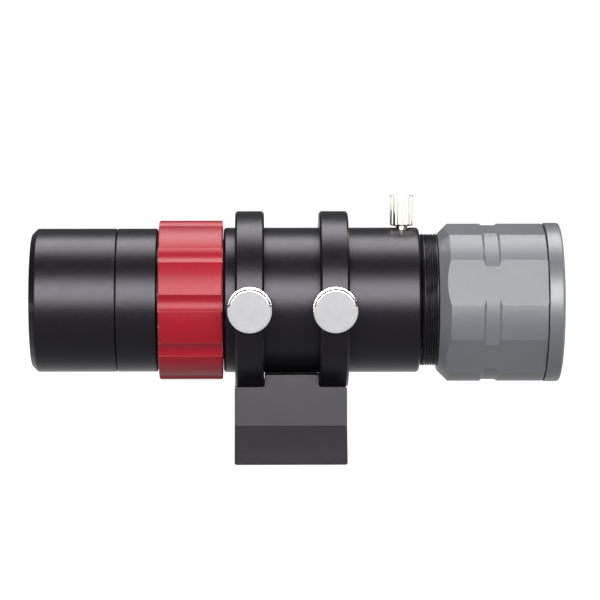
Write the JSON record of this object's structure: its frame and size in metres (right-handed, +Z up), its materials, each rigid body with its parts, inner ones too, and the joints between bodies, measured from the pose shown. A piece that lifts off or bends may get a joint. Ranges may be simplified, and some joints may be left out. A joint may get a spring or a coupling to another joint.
{
  "type": "finder scope",
  "caption": "Short guide and finder scope in two clamp rings on a dovetail base, with a helical-focus objective, a lock ring and a camera in its rear socket.",
  "frame": {"origin": "centre of the dovetail foot's flat underside, midway along the base", "axes": "+X along the optical axis towards the camera, so the objective is at -X; -Y towards the clamp screws; +Z up, from the foot to the tube"},
  "size_m": [0.1668, 0.0631, 0.0837],
  "materials": {
    "black_anodised": "black anodised, fine bead-blasted and turned",
    "red_anodised": "bright red anodised, satin",
    "grey_anodised": "gunmetal grey anodised, satin",
    "turned_steel": "fine turned face with polished bevel",
    "nickel": "bright nickel plated",
    "black_steel": "blackened",
    "brass": "machined",
    "nylon": "natural nylon",
    "black_plastic": "matt black",
    "circuit_board": "green solder mask",
    "silicon": "bare sensor die",
    "coated_glass": "multi-coated, faint green"
  },
  "bodies": {
    "base": {"dovetail_base": "black_anodised", "front_ring": "black_anodised", "rear_ring": "black_anodised", "front_ring_bolt": "black_steel", "rear_ring_bolt": "black_steel"},
    "front_tip": {"front_clamp_tip": "nylon"},
    "front_clamp": {"front_clamp_screw": "turned_steel"},
    "rear_tip": {"rear_clamp_tip": "nylon"},
    "rear_clamp": {"rear_clamp_screw": "turned_steel"},
    "tube_carrier": {"field_baffle": "black_plastic"},
    "tube": {"main_tube": "black_anodised"},
    "washer": {"lock_washer": "nylon"},
    "lock": {"lock_ring": "red_anodised"},
    "lens_group": {"crown_lens": "coated_glass", "flint_lens": "coated_glass", "lens_spacer": "black_plastic"},
    "focus_barrel": {"lens_cell": "black_anodised", "dew_shield": "black_anodised", "lens_retaining_ring": "black_anodised"},
    "socket_tip": {"socket_screw_tip": "nylon"},
    "socket_clamp": {"socket_screw": "nickel"},
    "camera_nose": {"camera_nosepiece": "black_anodised"},
    "camera": {"thread_adapter": "black_anodised", "camera_body": "grey_anodised", "rear_cover": "grey_anodised", "sensor_window": "coated_glass", "sensor_holder": "black_plastic", "image_sensor": "silicon", "sensor_board": "circuit_board", "main_board": "circuit_board", "standoff_1": "brass", "standoff_2": "brass", "standoff_3": "brass", "standoff_4": "brass", "cover_screw_1": "black_steel", "cover_screw_2": "black_steel", "cover_screw_3": "black_steel", "cover_screw_4": "black_steel", "usb_port": "turned_steel", "guide_port": "black_plastic"}
  },
  "joints": [
    {"name": "front_clamp_travel", "type": "slide", "parent": "base", "child": "front_tip", "axis": [0, -1, 0], "range_m": [-0.00005, 0.0036]},
    {"name": "front_clamp_turn", "type": "hinge", "parent": "front_tip", "child": "front_clamp", "pos_m": [-0.01295, 0, 0.0504], "axis": [0, -1, 0], "range_deg": [0, 1800]},
    {"name": "rear_clamp_travel", "type": "slide", "parent": "base", "child": "rear_tip", "axis": [0, -1, 0], "range_m": [-0.00005, 0.0036]},
    {"name": "rear_clamp_turn", "type": "hinge", "parent": "rear_tip", "child": "rear_clamp", "pos_m": [0.0135, 0, 0.0504], "axis": [0, -1, 0], "range_deg": [0, 1800]},
    {"name": "tube_slide", "type": "slide", "parent": "base", "child": "tube_carrier", "axis": [1, 0, 0], "range_m": [-0.0106, 0.003]},
    {"name": "tube_turn", "type": "hinge", "parent": "tube_carrier", "child": "tube", "pos_m": [0, 0, 0.0504], "axis": [1, 0, 0], "continuous": true},
    {"name": "lock_travel", "type": "slide", "parent": "tube", "child": "washer", "axis": [-1, 0, 0], "range_m": [-0.00002, 0.0004]},
    {"name": "lock_turn", "type": "hinge", "parent": "washer", "child": "lock", "pos_m": [0, 0, 0.0504], "axis": [-1, 0, 0], "range_deg": [0, 120]},
    {"name": "focus_travel", "type": "slide", "parent": "tube", "child": "lens_group", "axis": [-1, 0, 0], "range_m": [-0.0001, 0.0101]},
    {"name": "focus_turn", "type": "hinge", "parent": "lens_group", "child": "focus_barrel", "pos_m": [0, 0, 0.0504], "axis": [-1, 0, 0], "range_deg": [0, 3600]},
    {"name": "socket_travel", "type": "slide", "parent": "tube", "child": "socket_tip", "axis": [0, 0, 1], "range_m": [-0.00005, 0.0022]},
    {"name": "socket_turn", "type": "hinge", "parent": "socket_tip", "child": "socket_clamp", "pos_m": [0.03515, 0, 0.0504], "axis": [0, 0, 1], "range_deg": [0, 1080]},
    {"name": "camera_slide", "type": "slide", "parent": "tube", "child": "camera_nose", "axis": [1, 0, 0], "range_m": [0, 0.028]},
    {"name": "camera_turn", "type": "hinge", "parent": "camera_nose", "child": "camera", "pos_m": [0.06, 0, 0.0504], "axis": [1, 0, 0], "continuous": true}
  ],
  "couplings": [
    {"joint": "front_clamp_travel", "follows": "front_clamp_turn", "m_per_rad": 0.00011141},
    {"joint": "rear_clamp_travel", "follows": "rear_clamp_turn", "m_per_rad": 0.00011141},
    {"joint": "lock_travel", "follows": "lock_turn", "m_per_rad": 0.00015915},
    {"joint": "focus_travel", "follows": "focus_turn", "m_per_rad": 0.00015915},
    {"joint": "socket_travel", "follows": "socket_turn", "m_per_rad": 0.00011141}
  ]
}
